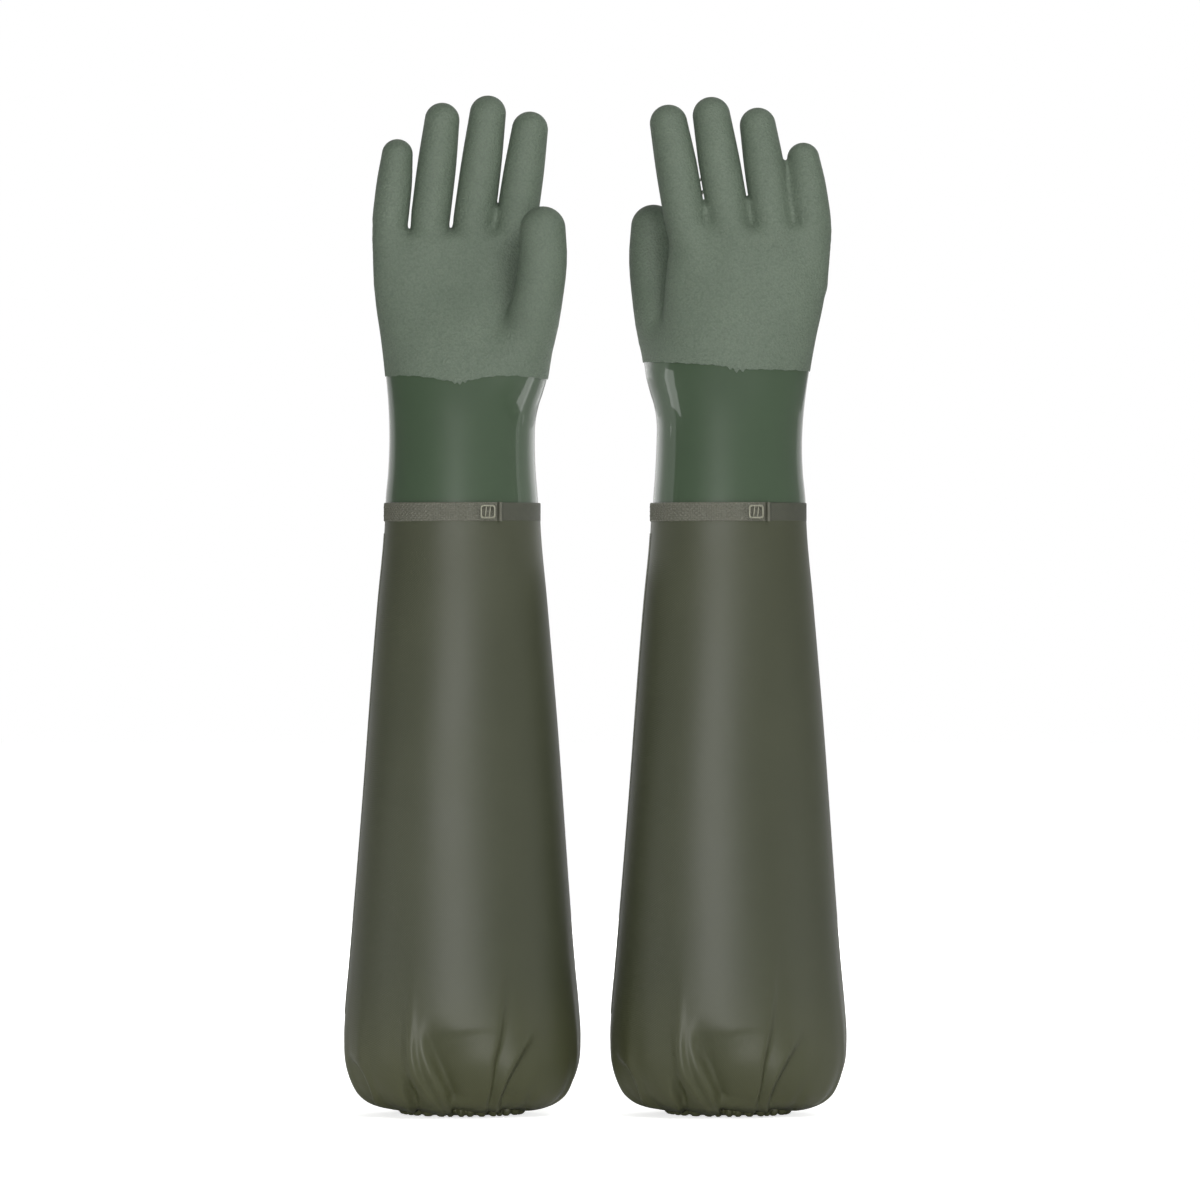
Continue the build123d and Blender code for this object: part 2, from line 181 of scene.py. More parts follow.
hand = {
    # height over the wrist, centre, half width and half depth of the stack
    "stack": (
        (-58, -0.4, 52.8, 39.4),
        (-40, -0.6, 53.3, 39.2),
        (-20, -0.5, 51.7, 38.4),
        (2, -0.4, 50.9, 37.2),
        (28, -0.2, 51.8, 35.4),
        (47, 0.6, 54.2, 33.0),
        (72, -2.8, 53.6, 29.4),
        (99, -5.0, 55.2, 24.6),
        (126, -6.2, 55.4, 19.6),
        (146, -6.6, 53.4, 15.6),
    ),
    "stackTop": 146.0,
    "topRound": 9.0,  # fillet over the webs
    "blunt": (2.0, 2.04),  # exponent of the section at the cuff and at the palm, where 2 is an ellipse
    "palmHollow": {"at": (-10.0, 108.0), "size": (30.0, 30.0), "depth": 5.6, "ease": 12.0},
    "fingerFillet": 7.0,
    "betweenFingers": 1.6,
    "slit": 1.0,  # fingers stay this far apart down to the end of their gap
    "webFillet": 7.0,  # and join below it
    "webEase": 5.0,
    "thumbFillet": ((66, 17.0), (100, 2.6)),  # height over the wrist, fillet
    "knuckle": {"rise": 130.0, "radius": 9.0, "height": 1.3},
    "coatEdge": 45.6,  # over the wrist
    "edgeRise": 47.0,  # where the hand's sway is taken for the edge
    "liftFade": (6.0, 45.0),  # the edge's lift dies out between these heights over it
    "spare": 11.6,  # what is made below the edge and trimmed off
    "ripples": ((0.25, 0.55, 0.0), (0.15, 1.3, 2.0)),  # of the edge: height, rate and shift
    "coatStep": 0.6,  # the coat stands this proud of the dip
    "wall": 3.4,
    "dipWall": 1.3,
    "room": ((-80.0, 80.0), (-56.0, 42.0), 6.0),  # across, through, and over the middle finger
    "cell": (0.78, 1.8, 1.8),  # size of the hand's faces
    "cutBand": 4.0,  # faces this near a cut are the ones it may split
    "cutBelowHinge": 12.0,  # where a digit's skin starts
    "bendAboveHinge": 15.0,
}

fingerShapes = {  # radius at the root, the middle and near the tip, and the tip's curl towards the palm
    "little": {"radii": (12.5, 12.2, 10.7), "curl": 6.5},
    "ring": {"radii": (13.6, 13.4, 12.0), "curl": 7.0},
    "middle": {"radii": (14.3, 13.9, 12.5), "curl": 6.5},
    "index": {"radii": (14.3, 13.9, 12.5), "curl": 5.5},
}
fingerDepth = 0.95  # depth over width of a finger
limbReach = 34.0  # beyond this from a finger or thumb its surface has no say
fingerRoot = {"depth": 52.0, "inward": 5.0, "thin": 0.5}  # the spine runs on down inside the palm, and thins

thumbShape = {
    "spine": (  # across, through, height over the wrist, and radius
        (26.0, -3.0, 34.0, 19.0),
        (35.5, -8.0, 50.0, 20.2),
        (46.0, -17.5, 76.0, 18.8),
        (53.0, -28.0, 104.0, 16.9),
        (55.8, -31.8, 126.0, 16.4),
        (55.6, -32.6, 146.6, 15.6),
    ),
    "depth": 0.92,
}


def swayAt(glove, rise):  # sideways lean of the hand over the wrist
    return glove["sway"] * smoothCurve(rise, (-60, 0, 40, 146, 260), (0, 0, 0.22, 1, 1))


def fingerWay(glove, name):  # hinge, and the way up the finger
    joint = jointOf(f"{glove['letter']}_{name}")
    axis = np.array(joint["axis"]) * glove["turn"]
    return toGlove(glove, joint["pos_m"]), np.array([-axis[2], 0.0, axis[0]])


def fingerSpine(glove, name):
    shape = fingerShapes[name]
    hinge, way = fingerWay(glove, name)
    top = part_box(f"{glove['letter']}_{name}_grip_coat")[1].z / mm + glove["tipLift"].get(name, 0)
    radii = np.array(shape["radii"]) + glove["swell"]
    length = (top - radii[2] - hinge[2]) / way[2]
    along = np.linspace(-fingerRoot["depth"], length, 17)
    share = np.clip(along / length, 0, 1)
    sunk = ramp(-along, 4, fingerRoot["depth"])
    spine = hinge + along[:, None] * way
    spine[:, 1] -= shape["curl"] * share**2
    spine[:, 0] -= np.sign(hinge[0] + 6) * fingerRoot["inward"] * sunk
    return spine, smoothCurve(share, (0, 0.5, 1), radii) * (1 - fingerRoot["thin"] * sunk)


def thumbSpine(glove):
    rough = np.array(thumbShape["spine"])
    smooth = smoothCurve(np.linspace(0, len(rough) - 1, 14), np.arange(len(rough)), rough)
    smooth[:, 0] += swayAt(glove, smooth[:, 2]) / 2
    smooth[:, 2] += glove["wrist"] + glove["thumbLift"] * ramp(smooth[:, 2], 60, 146)
    return smooth[:, :3], smooth[:, 3]


def limbField(points, spine, radii, depth):  # rounded limb, a little flatter in depth than in width
    scale = np.array([1.0, 1 / depth, 1.0])
    spots, path = points * scale, spine * scale
    best = np.full(len(points), 60.0)
    near = np.all((spots > path.min(0) - limbReach) & (spots < path.max(0) + limbReach), axis=1)
    close = spots[near]
    found = best[near]
    for start, end, r0, r1 in zip(path[:-1], path[1:], radii[:-1], radii[1:]):
        way = end - start
        t = np.clip((close - start) @ way / (way @ way), 0, 1)
        gap = np.linalg.norm(close - start - t[:, None] * way, axis=1)
        found = np.minimum(found, gap - (r0 + (r1 - r0) * t))
    best[near] = found
    return best


def stackField(points, glove):
    x, y, z = points.T
    rise = z - glove["wrist"]
    stack = np.array(hand["stack"])
    centre, halfWidth, halfDepth = smoothCurve(rise, stack[:, 0], stack[:, 1:]).T
    across = x - centre - swayAt(glove, rise)
    power = hand["blunt"][0] + (hand["blunt"][1] - hand["blunt"][0]) * ramp(rise, 10, 90)
    wide, deep = np.abs(across) / halfWidth, np.abs(y) / halfDepth
    level = np.maximum(wide**power + deep**power, 1e-9) ** (1 / power)
    slope = np.hypot(wide ** (power - 1) / halfWidth, deep ** (power - 1) / halfDepth) / level ** (power - 1)
    found = (level - 1) / np.maximum(slope, 0.4 / halfWidth)
    hollow = hand["palmHollow"]
    bowl = np.exp(-(((across - hollow["at"][0]) / hollow["size"][0]) ** 2))
    bowl = bowl * np.exp(-(((rise - hollow["at"][1]) / hollow["size"][1]) ** 2))
    found = found + hollow["depth"] * bowl * ramp(-y, 0, hollow["ease"])
    top = rise - hand["stackTop"] - glove["webLift"]
    return smoothMax(found, top, hand["topRound"])


def makeHandField(glove):  # distance from the outside of the whole hand
    limbs = {name: (*fingerSpine(glove, name), fingerDepth) for name in fingerShapes}
    limbs["thumb"] = (*thumbSpine(glove), thumbShape["depth"])
    knuckle = hand["knuckle"]
    ways = [fingerWay(glove, name) for name in fingerShapes]
    tops = [hinge + way * ((glove["wrist"] + knuckle["rise"] - hinge[2]) / way[2]) for hinge, way in ways]

    def field(points):
        found = stackField(points, glove)
        rise = points[:, 2] - glove["wrist"]
        each = [limbField(points, *limbs[name]) for name in fingerShapes]
        fingers = each[0]
        for one, gapEnd in zip(each[1:], glove["gapEnds"]):
            closed = 1 - ramp(rise, gapEnd - hand["webEase"], gapEnd)
            fillet = hand["betweenFingers"] + (hand["webFillet"] - hand["betweenFingers"]) * closed
            fingers = smoothMin(fingers, one, fillet)
        for one, other, gapEnd in zip(each, each[1:], glove["gapEnds"]):
            slit = np.minimum(hand["slit"] / 2 - np.abs(one - other) / 2, rise - gapEnd)
            fingers = np.maximum(fingers, np.minimum(slit, 3 - np.minimum(one, other)))
        found = smoothMin(found, fingers, hand["fingerFillet"])
        for top in tops:
            away = ((points[:, 0] - top[0]) ** 2 + (points[:, 2] - top[2]) ** 2) / knuckle["radius"] ** 2
            found = found - knuckle["height"] * np.exp(-away) * ramp(points[:, 1], 0, 10)
        (low, wideFillet), (high, tightFillet) = hand["thumbFillet"]
        fillet = wideFillet + (tightFillet - wideFillet) * ramp(rise, low, high)
        return smoothMin(found, limbField(points, *limbs["thumb"]), fillet)

    return field, limbs


def coatEdge(glove, points):  # lift of the coat's lower edge above its own level
    x, y = points[:, 0] - swayAt(glove, hand["edgeRise"]), points[:, 1]
    palm = smoothCurve(x, *np.array(glove["palmEdge"]).T)
    back = smoothCurve(x, *np.array(glove["backEdge"]).T)
    drip = glove["drip"]
    along = (x - drip["place"]) / drip["width"]
    ragged = np.exp(-np.abs(along) ** 3) * (0.62 + 0.38 * np.sin(9 * along + 1.0))
    facing = (y < 0) if drip["palm"] else (y > 0)
    lift = np.where(y < 0, palm, back) - drip["drop"] * ragged * facing
    return lift + sum(high * np.sin(x * rate + shift) for high, rate, shift in hand["ripples"])


edgeLevel = gloves[0]["wrist"] + hand["coatEdge"]


def surfaceNet(field, low, high, cell, near=9):  # quads near the surface where field is 0
    axes = [lo + size * np.arange(int((hi - lo) / size) + 2) for lo, hi, size in zip(low, high, cell)]
    grid = np.stack(np.meshgrid(*axes, indexing="ij"), -1)
    counts = grid.shape[:3]
    rough = field(grid[::4, ::4, ::4].reshape(-1, 3)).reshape([(count + 3) // 4 for count in counts])
    nearest = [np.minimum((np.arange(count) + 2) // 4, size - 1) for count, size in zip(counts, rough.shape)]
    value = rough[np.ix_(*nearest)]
    close = np.abs(value) < near  # only these places are worked out in full
    value[close] = field(grid[close])
    hits = np.zeros([count - 1 for count in counts])
    total = np.zeros((*hits.shape, 3))
    for axis in range(3):
        others = [(axis + 1) % 3, (axis + 2) % 3]
        for corner in ((0, 0), (0, 1), (1, 0), (1, 1)):
            first = [slice(0, -1)] * 3
            for other, shift in zip(others, corner):
                first[other] = slice(shift, counts[other] - 1 + shift)
            last = list(first)
            last[axis] = slice(1, None)
            start, end = value[tuple(first)], value[tuple(last)]
            crossed = (start < 0) != (end < 0)
            share = np.where(crossed, start / np.where(crossed, start - end, 1), 0)
            spot = grid[tuple(first)].copy()
            spot[..., axis] += share * cell[axis]
            total += spot * crossed[..., None]
            hits += crossed
    used = hits > 0
    number = np.full(used.shape, -1)
    number[used] = np.arange(used.sum())
    quads = []
    for axis in range(3):
        one, two = (axis + 1) % 3, (axis + 2) % 3
        inner = [slice(None)] * 3
        inner[one] = inner[two] = slice(1, -1)
        here = value[tuple(inner)]
        count = here.shape[axis]
        start, end = (np.take(here, range(*span), axis) for span in ((0, count - 1), (1, count)))
        for leaving in (True, False):
            place = np.argwhere((start < 0) & (end >= 0) if leaving else (start >= 0) & (end < 0))
            place[:, one] += 1
            place[:, two] += 1
            ring = []
            for back in ((1, 1), (0, 1), (0, 0), (1, 0)):
                cellAt = place.copy()
                cellAt[:, one] -= back[0]
                cellAt[:, two] -= back[1]
                ring.append(number[tuple(cellAt.T)])
            quads.append(np.stack(ring if leaving else ring[::-1], -1))
    return total[used] / hits[used][:, None], np.concatenate(quads)


def relax(field, points, quads, rounds):  # evens out the faces while they stay on the surface
    edges = np.concatenate([quads[:, [i, (i + 1) % 4]] for i in range(4)])
    edges = np.concatenate([edges, edges[:, ::-1]])
    count = np.bincount(edges[:, 0], minlength=len(points))[:, None]
    for _ in range(rounds):
        pull = np.stack([np.bincount(edges[:, 0], points[edges[:, 1], k], len(points)) for k in range(3)], -1)
        shift = pull / count - points
        here, slope = gradientOf(field, points)
        size = np.maximum((slope**2).sum(1), 0.2)
        shift -= slope * ((shift * slope).sum(1) / size)[:, None]
        points = points + 0.8 * shift - slope * (here / size)[:, None]
    return points


looks = {}  # materials, by name


def linkPiece(mesh):
    piece = bpy.data.objects.new(mesh.name, mesh)
    scene.collection.objects.link(piece)
    return piece


def newPiece(name, points, faces, materials, smooth=True):
    mesh = bpy.data.meshes.new(name)
    mesh.from_pydata(np.asarray(points).tolist(), [], faces)
    for material in materials:
        mesh.materials.append(looks[material])
    mesh.polygons.foreach_set("use_smooth", [smooth] * len(faces))
    return linkPiece(mesh)


def seatOn(piece, body, slot, *nodes):  # the body it rides, its finish (not used) and the solids it stands in for
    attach(piece, body)
    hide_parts(*nodes)


def secondSkin(faces, count):
    # the same faces turned over, count points further on, and walls round the open edges
    edges = dict.fromkeys((a, b) for face in faces for a, b in zip(face, face[1:] + face[:1]))
    linings = [[i + count for i in reversed(face)] for face in faces]
    return linings, [[b, a, a + count, b + count] for a, b in edges if (b, a) not in edges]


def shellMesh(name, points, normals, faces, wall, materials):
    # outer skin, inner skin and the rims between them, with the surface's own normals
    linings, walls = secondSkin(faces, len(points))
    spots = np.concatenate([points, points - normals * wall * mm])
    piece = newPiece(name, spots, faces + linings + walls, materials)
    mesh = piece.data
    kinds = [0] * len(faces) + [len(materials) - 1] * len(linings) + [0] * len(walls)
    mesh.polygons.foreach_set("material_index", kinds)
    mesh.update()
    loops = np.empty(len(mesh.loops), int)
    mesh.loops.foreach_get("vertex_index", loops)
    loopNormals = np.concatenate([normals, -normals])[loops]
    faceNormals = np.empty(len(mesh.polygons) * 3)
    mesh.polygons.foreach_get("normal", faceNormals)
    rimStart = mesh.polygons[-len(walls)].loop_start
    loopNormals[rimStart:] = np.repeat(faceNormals.reshape(-1, 3)[-len(walls):], 4, axis=0)
    mesh.normals_split_custom_set(loopNormals.tolist())
    return piece


def pickFaces(points, normals, faces):  # only the points that these faces use
    used = sorted({i for face in faces for i in face})
    number = {old: new for new, old in enumerate(used)}
    return points[used], normals[used], [[number[i] for i in face] for face in faces]


def faceMiddles(work):
    return np.array([face.calc_center_median() for face in work.faces])


def cutHand(glove, points, quads, limbs, cuts):
    # trims the skin at the coat's edge and scores it round the root of each digit
    lift = coatEdge(glove, points)
    start, end = (edgeLevel + rise for rise in hand["liftFade"])
    fade = lambda level: 1 - ramp(level, start, end)
    flat = points.copy()
    for _ in range(4):
        flat[:, 2] = points[:, 2] - lift * fade(flat[:, 2])
    work = bmesh.new()
    verts = [work.verts.new(p) for p in flat]
    for quad in quads:
        work.faces.new([verts[i] for i in quad])
    everything = work.verts[:] + work.edges[:] + work.faces[:]
    bmesh.ops.bisect_plane(work, geom=everything, plane_co=(0, 0, edgeLevel), plane_no=(0, 0, 1),
                           clear_inner=True)
    trimmed = np.array([v.co for v in work.verts])
    lift = coatEdge(glove, trimmed) * fade(trimmed[:, 2])
    for vert, rise in zip(work.verts, lift):
        vert.co.z += rise
    for number, (cutAt, way) in enumerate(cuts):
        middles = faceMiddles(work)
        mine = (digitOf(middles, limbs) == number) & (np.abs((middles - cutAt) @ way) < hand["cutBand"])
        ring = [face for face, yes in zip(work.faces, mine) if yes]
        geometry = list({v for f in ring for v in f.verts}) + list({e for f in ring for e in f.edges}) + ring
        bmesh.ops.bisect_plane(work, geom=geometry, plane_co=cutAt, plane_no=way)
    work.verts.index_update()
    spots = np.array([v.co for v in work.verts])
    faces = [[v.index for v in face.verts] for face in work.faces]
    middles = faceMiddles(work)
    work.free()
    return spots, faces, middles


def digitCut(glove, name, limbs):  # where a digit's skin starts, and the way up the digit
    hinge = toGlove(glove, jointOf(f"{glove['letter']}_{name}")["pos_m"])
    if name == "thumb":
        spine = limbs[name][0]
        place = int(np.abs(spine[:, 2] - hinge[2]).argmin())
        way = spine[place + 1] - spine[place - 1]
        way = way / np.linalg.norm(way)
    else:
        way = fingerWay(glove, name)[1]
    return hinge - way * hand["cutBelowHinge"], way


def digitOf(points, limbs):  # number of the digit that each point lies on
    return np.argmin([limbField(points, *limbs[name]) for name in digitNames], axis=0)


def makeHand(glove):
    letter = glove["letter"]
    field, limbs = makeHandField(glove)
    cuts = [digitCut(glove, name, limbs) for name in digitNames]
    (left, right), (front, back), over = hand["room"]
    low = (left, front, glove["wrist"] + hand["coatEdge"] - hand["spare"])
    high = (right, back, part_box(f"{letter}_middle_grip_coat")[1].z / mm + over)
    points, quads = surfaceNet(field, low, high, hand["cell"])
    points = relax(field, settleOn(field, points), quads, 3)
    spots, faces, middles = cutHand(glove, points, quads, limbs, cuts)
    normals = normalsOf(field, spots)
    owner = digitOf(middles, limbs)
    share = np.full(len(faces), -1)
    for number, (cutAt, way) in enumerate(cuts):
        share[(owner == number) & ((middles - cutAt) @ way > 0)] = number
    for number, part in enumerate(("palm", *digitNames), -1):
        chosen = [faces[i] for i in np.flatnonzero(share == number)]
        somePoints, someNormals, someFaces = pickFaces(spots, normals, chosen)
        piece = shellMesh(f"{letter}_{part}Skin", toRow(glove, somePoints), someNormals * glove["turn"],
                          someFaces, hand["wall"], ("gripCoat", "thermalLining"))
        if part == "palm":
            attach(piece, f"{letter}_hand")
            layers = ("grip_coat", "thermal_liner")
        else:
            cutAt, way = cuts[number]
            bendEnd = cutAt + way * (hand["cutBelowHinge"] + hand["bendAboveHinge"])
            toRow(glove, cutAt)
            toRow(glove, bendEnd)
            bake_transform(piece)
            layers = ("grip_coat", "smooth_dip", "thermal_liner")
        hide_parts(*(f"{letter}_{part}_{layer}" for layer in layers))
    return field


gauntlet = {
    "columns": 192,
    "firstGuess": 44.0,  # how far out the search for its surface starts
    "rows": 72,
    "bend": (-26.0, 30.0),  # from and to these heights over the wrist; their places are worked out, but the gauntlet is not bent
    "overlap": 2.0,  # how far it runs up under the coat
}


def makeGauntlet(glove, field):  # glossy dipped cuff, from under the strap to the coat's edge
    letter = glove["letter"]
    dip = lambda spots: field(spots) + hand["coatStep"]
    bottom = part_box(f"{letter}_gauntlet_cuff")[0].z / mm
    turns = wholeTurn(gauntlet["columns"])
    ways = np.stack([np.sin(turns), -np.cos(turns), np.zeros_like(turns)], -1)
    reach = np.full(len(turns), gauntlet["firstGuess"])

    def outward(level, reach, step=0.1):
        up = np.stack([0 * level, 0 * level, level], -1)
        for _ in range(5):
            spots = ways * reach[:, None] + up
            here = dip(spots)
            reach = reach - here * step / np.maximum(dip(spots + ways * step) - here, 0.02)
        return ways * reach[:, None] + up, reach

    top = np.full(len(turns), edgeLevel)
    for _ in range(4):
        spots, reach = outward(top, reach)
        top = edgeLevel + coatEdge(glove, spots)
    rings = []
    for share in np.linspace(0, 1, gauntlet["rows"]):
        level = bottom + (top + gauntlet["overlap"] - bottom) * share
        rings.append(outward(level, reach)[0])
    points = np.concatenate(rings)
    faces = gridFaces(len(turns), len(rings))
    normals = normalsOf(dip, points)
    piece = shellMesh(f"{letter}_gauntletSkin", toRow(glove, points), normals * glove["turn"], faces,
                      hand["dipWall"], ("smoothDip", "thermalLining"))
    start, end = (toRow(glove, (0, 0, glove["wrist"] + rise)) for rise in gauntlet["bend"])
    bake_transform(piece)
    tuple(start)
    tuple(end)
    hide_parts(f"{letter}_gauntlet_cuff", f"{letter}_palm_smooth_dip", f"{letter}_cuff_thermal_liner")


def gridFaces(columns, rows, closed=True, looped=False):
    # quads of a grid: closed joins the ends of each row, looped joins the last row to the first
    faces = []
    for row in range(rows if looped else rows - 1):
        start, later = row * columns, (row + 1) % rows * columns
        for column in range(columns if closed else columns - 1):
            after = (column + 1) % columns
            faces.append([start + column, start + after, later + after, later + column])
    return faces


# Sleeve: a flared tube of coated fabric, gathered at the bottom on the hem's elastic

sleeve = {
    "columns": 420,
    "rows": 190,
    # height, half width, half depth and strength of the gathers, from the strap down and in under the hem
    "profile": (
        (419.0, 53.3, 40.0, 0.0),
        (404.0, 53.9, 40.5, 0.0),
        (354.0, 58.3, 44.2, 0.0),
        (285.0, 63.8, 48.8, 0.0),
        (216.0, 69.1, 53.2, 0.02),
        (147.0, 74.6, 57.8, 0.06),
        (100.0, 78.6, 61.2, 0.16),
        (76.0, 80.8, 63.0, 0.26),
        (52.0, 82.0, 64.2, 0.42),
        (36.0, 80.8, 63.4, 0.58),
        (23.0, 76.6, 60.0, 0.74),
        (14.0, 71.2, 55.6, 0.86),
        (9.0, 65.4, 51.2, 0.8),
        (5.2, 57.0, 45.0, 0.6),
        (3.4, 49.4, 39.4, 0.4),
        (2.7, 43.4, 35.4, 0.3),
    ),
    "gathers": 17,
    "gatherHeight": 3.2,
    "waves": ((0.4, 2, 0.012, 0.6), (0.28, 3, -0.021, 2.1)),  # height, count round, lean and shift
    "lowest": 1.2,
    "wall": 0.8,
    "sheetRadii": (47.5, 75.5),  # mean radius at the strap and at the fullest
    "ease": 1.02,
}

# Folds that can be seen from the front: a crease through points across and up, with one side high and the
# other side deep. Raised says which side is the high one: 1 is the left one, seen from the palm
sleeveFolds = (
    {"path": ((-31, 96), (-31.5, 66), (-31.6, 48), (-28, 31), (-20.5, 17), (-12, 5)), "raised": 1,
     "high": 2.4, "deep": 1.4, "wide": (11, 5), "soft": 0.8},
    {"path": ((-23, 76), (-25, 60), (-22.5, 46), (-17, 32), (-10, 16), (-7, 5)), "raised": 1,
     "high": 1.8, "deep": 10.0, "wide": (6, 23), "soft": 1.6},
    {"path": ((-36, 130), (-37.5, 92), (-38.5, 58), (-37, 38), (-33, 22)), "raised": -1,
     "high": 1.2, "deep": 1.6, "wide": (8, 18), "soft": 2.2},
    {"path": ((34, 130), (31, 88), (27.6, 58), (23.6, 39), (21.5, 22), (17.8, 4)), "raised": 1,
     "high": 2.4, "deep": 2.6, "wide": (18, 6), "soft": 0.9},
    {"path": ((51, 68), (47.5, 54), (40.8, 42), (34, 28.5), (29.3, 17), (26.5, 6)), "raised": 1,
     "high": 2.2, "deep": 6.0, "wide": (6, 16), "soft": 1.1},
    {"path": ((-80, 46), (-77, 39), (-69.5, 31), (-62.6, 15), (-59, 6)), "raised": -1,
     "high": 1.2, "deep": 6.0, "wide": (8, 14), "soft": 0.8},
    {"path": ((-40, 33), (-39, 22), (-35, 12), (-32, 4)), "raised": 1,
     "high": 2.6, "deep": 5.5, "wide": (7, 9), "soft": 1.0},
    {"path": ((-26, 57), (0, 61), (25, 64)), "raised": -1,
     "high": 0.12, "deep": 0.12, "wide": (4, 4), "soft": 0.6},
    {"path": ((60, 31), (52, 16), (46, 5)), "raised": -1,
     "high": 1.2, "deep": 1.8, "wide": (9, 9), "soft": 1.6},
)


def foldHeight(flat, fold):  # height of a fold at points across and up the front
    path = np.array(fold["path"], float)
    path = smoothCurve(np.linspace(0, len(path) - 1, 24), np.arange(len(path)), path)
    best = np.full(len(flat), 1e9)
    side, share = np.zeros(len(flat)), np.zeros(len(flat))
    for number, (start, end) in enumerate(zip(path[:-1], path[1:])):
        way = end - start
        t = np.clip((flat - start) @ way / (way @ way), 0, 1)
        away = flat - start - t[:, None] * way
        gap = np.hypot(*away.T)
        nearer = gap < best
        best = np.where(nearer, gap, best)
        turned = way[0] * away[:, 1] - way[1] * away[:, 0]
        side = np.where(nearer, np.sign(turned), side)
        share = np.where(nearer, (number + t) / (len(path) - 1), share)
    signed = best * side * fold["raised"]  # less than 0 on the high side
    edge = np.tanh(signed / (fold["soft"] * (1 + 1.5 * (1 - share))))
    highWide, deepWide = fold["wide"]
    high = fold["high"] * 0.5 * (1 - edge) * np.exp(-((best / highWide) ** 1.5))
    deep = fold["deep"] * 0.5 * (1 + edge) * np.exp(-((best / deepWide) ** 1.4))
    return (high - deep) * ramp(share, 0, 0.6)


def makeSleeve(glove):
    letter = glove["letter"]
    columns = sleeve["columns"]
    profile = np.array(sleeve["profile"])
    length = np.concatenate([[0], np.cumsum(np.hypot(np.diff(profile[:, 0]), np.diff(profile[:, 1])))])
    along = np.linspace(0, length[-1], sleeve["rows"])
    height, halfWidth, halfDepth, strength = smoothCurve(along, length, profile).T
    around = np.broadcast_to(wholeTurn(columns), (len(along), columns))
    z = np.broadcast_to(height[:, None], around.shape)
    points = ovalPoints(around, z, halfWidth[:, None], halfDepth[:, None])
    x, y = points[..., 0], points[..., 1]
    normals = gridNormals(points)
    dice = np.random.default_rng(7)  # the same gathers on both gloves
    lift = np.zeros(x.shape)
    strength = np.clip(strength, 0, None)[:, None]
    for number in range(sleeve["gathers"]):
        middle = (number + dice.uniform(-0.3, 0.3)) / sleeve["gathers"] * 2 * math.pi
        wide = dice.uniform(0.07, 0.13)
        tall = dice.uniform(0.6, 1.1)
        slant = dice.uniform(-0.22, 0.22)
        front = max(math.cos(middle), 0)
        grown = strength ** dice.uniform(1.5, 2.6)
        gap = (around - middle - slant * (1 - strength) + math.pi) % (2 * math.pi) - math.pi
        gather = np.exp(-((gap / wide) ** 2)) - 0.55 * np.exp(-(((gap - 1.5 * wide) / wide) ** 2))
        lift += (1 - 0.75 * front) * sleeve["gatherHeight"] * tall * grown * gather
    flat = np.stack([x.ravel(), z.ravel()], -1)
    folds = sum(foldHeight(flat, fold) for fold in sleeveFolds).reshape(x.shape)
    lift += folds * ramp(-y, 6, 26) * (0.4 + 0.6 * ramp(z, 5, 14))
    for high, count, lean, shift in sleeve["waves"]:
        lift += high * np.sin(count * around + lean * z + shift) * ramp(400 - z, 0, 160)
    lift *= ramp(along, 4, 40)[:, None]
    points = points + normals * lift[..., None]
    points[..., 2] = np.maximum(points[..., 2], sleeve["lowest"])
    normals = gridNormals(points)
    outside = (points.reshape(-1, 3) + [glove["centre"], 0, 0]) * mm
    faces = [face[::-1] for face in gridFaces(columns, len(along))]
    piece = shellMesh(f"{letter}_sleeveFabric", outside, normals.reshape(-1, 3), faces, sleeve["wall"],
                      ("sleeveFabric", "sleeveBacking"))
    seatOn(piece, "forearms", "sleeve_fabric", f"{letter}_sleeve")
    makeSeamTape(glove, points, normals, halfDepth)
    top, bottom = (2 * math.pi * radius * mm for radius in sleeve["sheetRadii"])
    tall = length[-1] * mm


seamTape = {"columns": 13, "proud": 0.4, "wall": 0.38}


def makeSeamTape(glove, points, normals, halfDepth):  # lies on the sleeve's skin, down its -X side
    letter = glove["letter"]
    low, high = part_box(f"{letter}_sleeve_seam_tape")
    rows = np.flatnonzero((points[:, 0, 2] > low.z / mm) & (points[:, 0, 2] < high.z / mm))
    across = np.linspace(high.y, low.y, seamTape["columns"]) / mm
    turns = 1.5 * math.pi - np.arcsin(across / halfDepth[rows, None])
    column = turns / (2 * math.pi) * points.shape[1]
    before = column.astype(int)
    share = (column - before)[..., None]
    skin = [grid[rows[:, None], before] * (1 - share) + grid[rows[:, None], before + 1] * share
            for grid in (points, normals)]
    skin[0] = skin[0] + skin[1] * seamTape["proud"] + [glove["centre"], 0, 0]
    faces = [face[::-1] for face in gridFaces(seamTape["columns"], len(rows), closed=False)]
    piece = shellMesh(f"{letter}_seamTapeSkin", skin[0].reshape(-1, 3) * mm, skin[1].reshape(-1, 3), faces,
                      seamTape["wall"], ("seamTape",))
    seatOn(piece, "forearms", "seam_tape", f"{letter}_sleeve_seam_tape")


def ovalPoints(around, height, halfWidth, halfDepth):  # turning from straight ahead towards +X
    return np.stack([halfWidth * np.sin(around), -halfDepth * np.cos(around), height], -1)


def gridNormals(points):  # outward, on a grid whose rows go down and whose columns go round
    around = np.roll(points, -1, 1) - np.roll(points, 1, 1)
    down = np.gradient(points, axis=0)
    normal = np.cross(down, around)
    return normal / np.linalg.norm(normal, axis=-1)[..., None]


hem = {"columns": 420, "rings": 28, "lowest": 0.3, "halfWidth": 40.5, "halfDepth": 33.0, "tube": (3.2, 4.4),
       "middle": 4.7, "scallops": 31, "scallopHeight": 1.2}


